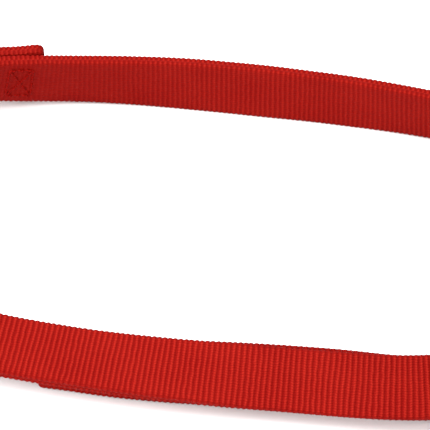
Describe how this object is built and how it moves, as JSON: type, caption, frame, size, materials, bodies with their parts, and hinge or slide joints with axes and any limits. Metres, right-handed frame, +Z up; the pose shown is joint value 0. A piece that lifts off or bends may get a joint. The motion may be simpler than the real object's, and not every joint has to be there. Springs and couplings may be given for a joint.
{
  "type": "saxophone neck strap",
  "caption": "Looped neck strap of ribbed red webbing with a padded neck piece, wire rings, a three-bar slider and a swivelling bolt snap.",
  "frame": {"origin": "middle of the strap's footprint, on the table that it lies on", "axes": "+X along the loop from the neck pad towards the snap hook, +Y to the side without the slider, +Z up"},
  "size_m": [0.3963, 0.1249, 0.0426],
  "materials": {
    "red_webbing": "ribbed nylon weave",
    "red_thread": "twisted polyester thread",
    "black_webbing": "fine woven nylon",
    "black_thread": "twisted polyester thread",
    "pad_cover": "matt woven nylon",
    "pad_lining": "brushed soft lining",
    "pad_binding": "folded binding tape",
    "pad_foam": "closed-cell foam",
    "nickel_plate": "polished nickel plate",
    "steel": "turned steel"
  },
  "bodies": {
    "root": {"pad_outer_cover": "pad_cover", "pad_foam_core": "pad_foam", "pad_lining": "pad_lining", "pad_upper_binding": "pad_binding", "pad_lower_binding": "pad_binding", "pad_stitching": "black_thread", "far_pad_tab": "black_webbing", "near_pad_tab": "black_webbing", "far_tab_stitching": "black_thread", "near_tab_stitching": "black_thread", "far_ring": "nickel_plate", "near_ring": "nickel_plate", "main_webbing": "red_webbing", "adjuster_webbing": "red_webbing", "main_ring_stitching": "red_thread", "adjuster_ring_stitching": "red_thread", "main_slider_stitching": "red_thread", "slider_frame": "nickel_plate"},
    "eye": {"hook_eye": "nickel_plate"},
    "hook": {"hook_body": "nickel_plate", "swivel_post": "steel", "swivel_washer": "steel", "bolt_spring": "steel"},
    "bolt_slider": {"bolt": "steel", "thumb_stud": "steel"}
  },
  "joints": [
    {"name": "eye_swing", "type": "hinge", "parent": "root", "child": "eye", "pos_m": [0.14125, 0.00091, 0.014], "axis": [0, 0, 1], "range_deg": [-45, 45]},
    {"name": "hook_swivel", "type": "hinge", "parent": "eye", "child": "hook", "pos_m": [0.15225, 0.00091, 0.014], "axis": [1, 0, 0], "continuous": true},
    {"name": "bolt_slide", "type": "slide", "parent": "hook", "child": "bolt_slider", "axis": [-1, 0, 0], "range_m": [0, 0.007], "stiffness_N_per_m": 300, "springref_m": -0.004, "deforming": ["bolt_spring"]}
  ]
}
